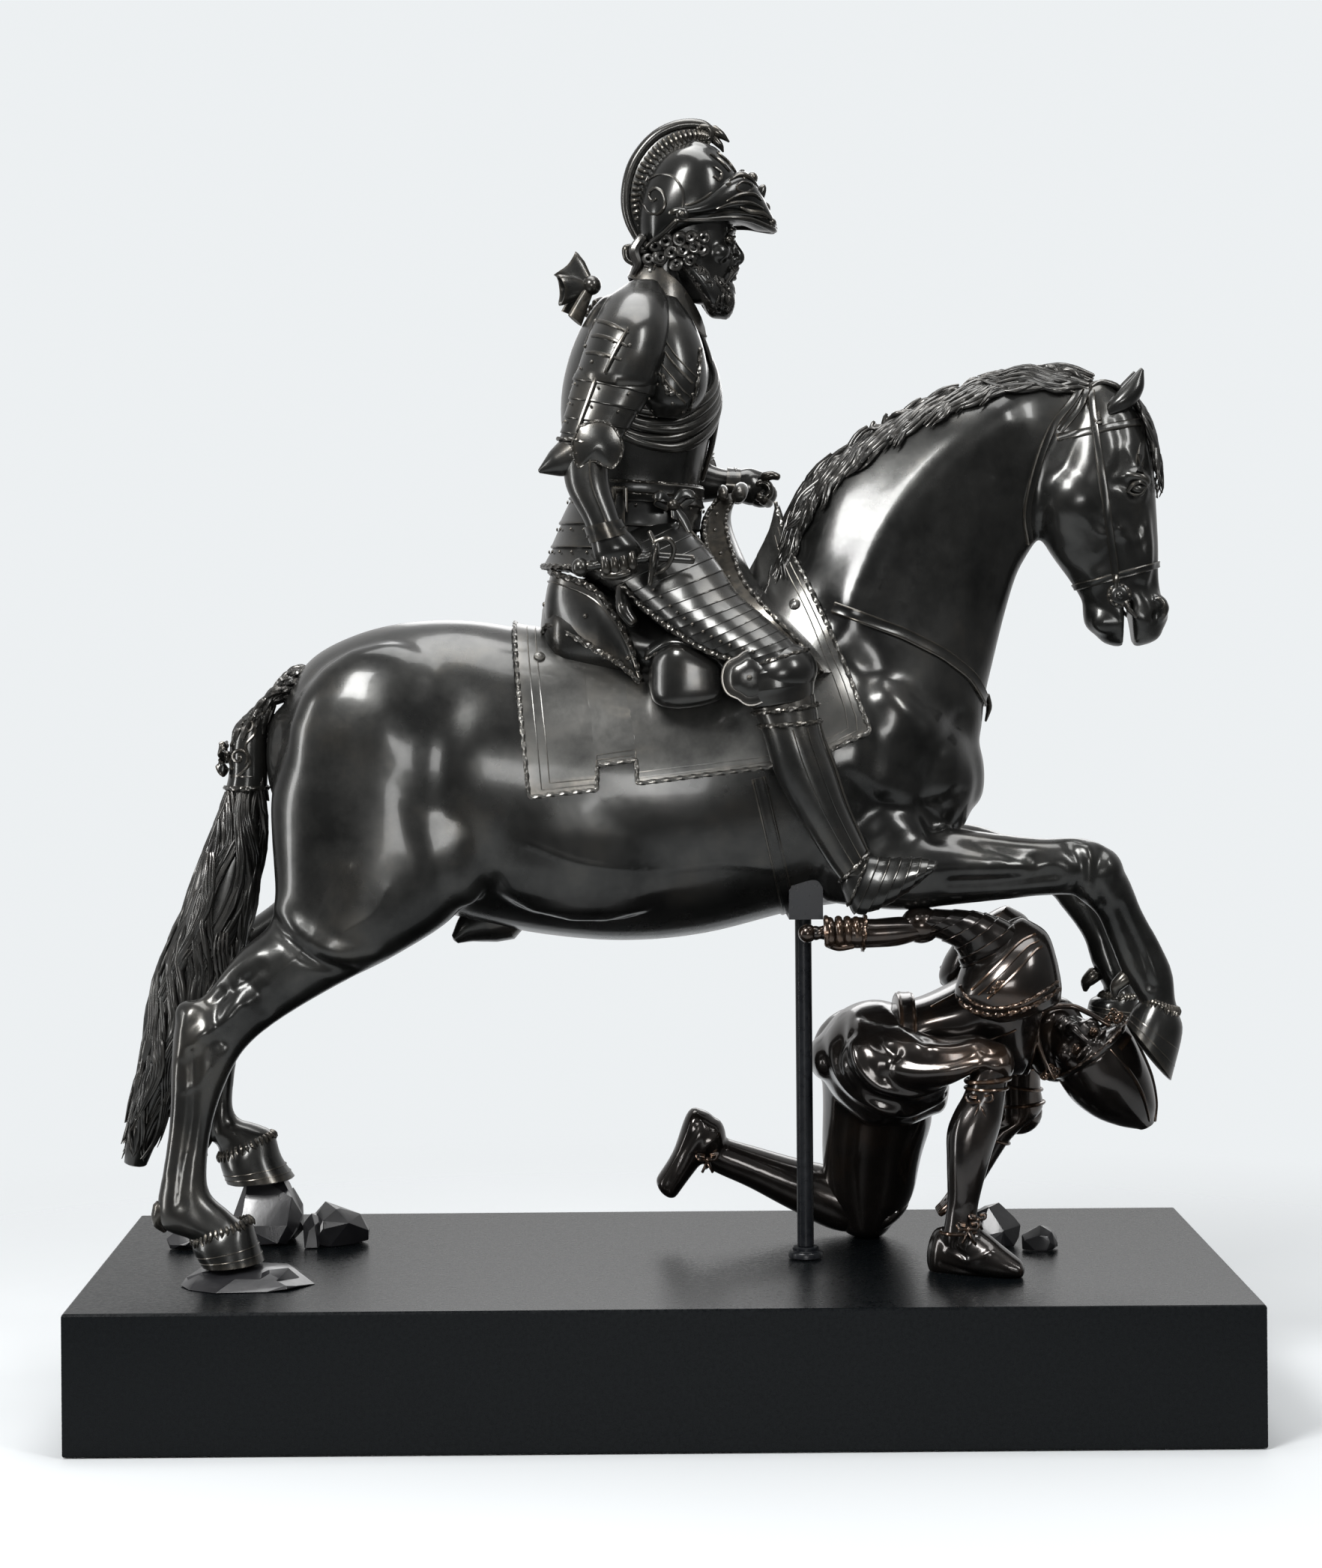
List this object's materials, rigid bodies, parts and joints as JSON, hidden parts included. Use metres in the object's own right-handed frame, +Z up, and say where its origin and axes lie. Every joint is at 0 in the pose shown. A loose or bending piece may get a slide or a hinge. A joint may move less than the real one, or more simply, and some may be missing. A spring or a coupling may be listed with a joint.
{
  "type": "equestrian statuette",
  "caption": "Bronze statuette of an armoured rider on a rearing horse above a kneeling foot soldier, on a black plinth with a support rod.",
  "frame": {"origin": "middle of the plinth's underside", "axes": "+Z up, +X towards the horse's head along the plinth, +Y to the horse's left, away from the side in the picture"},
  "size_m": [0.67, 0.314, 0.7659],
  "materials": {
    "black_bronze": "cast bronze under a dark brown-black patina, polished and waxed, rubbed warm brown on the edges",
    "brown_bronze": "cast bronze under a thinner, glossier brown patina",
    "black_plinth": "satin black paint",
    "black_steel": "satin black paint",
    "black_rock": "glossy black faceted lumps"
  },
  "bodies": {
    "root": {"plinth": "black_plinth", "rod_foot": "black_steel", "support_rod": "black_steel", "belly_cradle": "black_steel", "horse": "black_bronze", "tail": "black_bronze", "breast_strap": "black_bronze", "saddle_cloth": "black_bronze", "rear_screw_near": "black_bronze", "rear_screw_far": "black_bronze", "front_screw_near": "black_bronze", "front_screw_far": "black_bronze", "saddle": "black_bronze", "rider": "black_bronze", "rider_sword": "black_bronze", "soldier": "brown_bronze", "soldier_sword": "brown_bronze", "near_hind_rock": "black_rock", "far_hind_rock": "black_rock", "side_rock": "black_rock", "rear_rock": "black_rock", "hand_rock": "black_rock", "toe_rock": "black_rock"}
  },
  "joints": []
}
